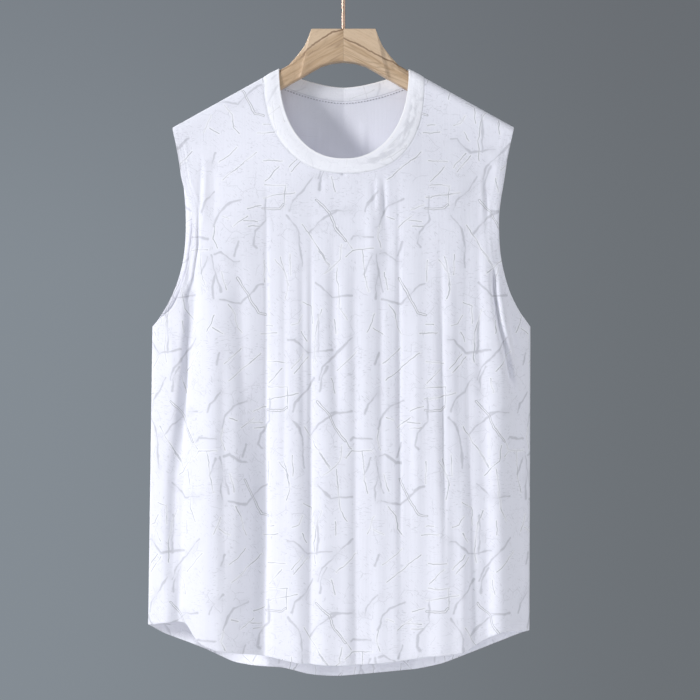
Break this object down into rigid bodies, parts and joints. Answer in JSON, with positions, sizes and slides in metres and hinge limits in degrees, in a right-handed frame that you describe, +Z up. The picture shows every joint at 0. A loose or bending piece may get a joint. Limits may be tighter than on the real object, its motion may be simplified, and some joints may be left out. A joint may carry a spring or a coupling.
{
  "type": "sleeveless t-shirt on wooden hanger",
  "caption": "Sleeveless crew-neck T-shirt with a curved hem, hanging in soft vertical folds on a flat wooden hanger with a wire hook.",
  "frame": {"origin": "inside top of the hook's bend, where it rests on a rail", "axes": "+Z up, along the shirt's length; +X to the right as the front is seen; the front faces -Y"},
  "size_m": [0.4526, 0.0849, 0.873],
  "materials": {
    "cloth": "fine white jersey with a pale grey line pattern",
    "band": "plain white rib knit, folded double",
    "wood": "pale lacquered hardwood, satin",
    "metal": "polished copper-coloured wire"
  },
  "bodies": {
    "root": {"front_panel": "cloth", "back_panel": "cloth", "neckband": "band", "hanger_left": "wood", "hanger_right": "wood", "hanger_hook": "metal"}
  },
  "joints": []
}
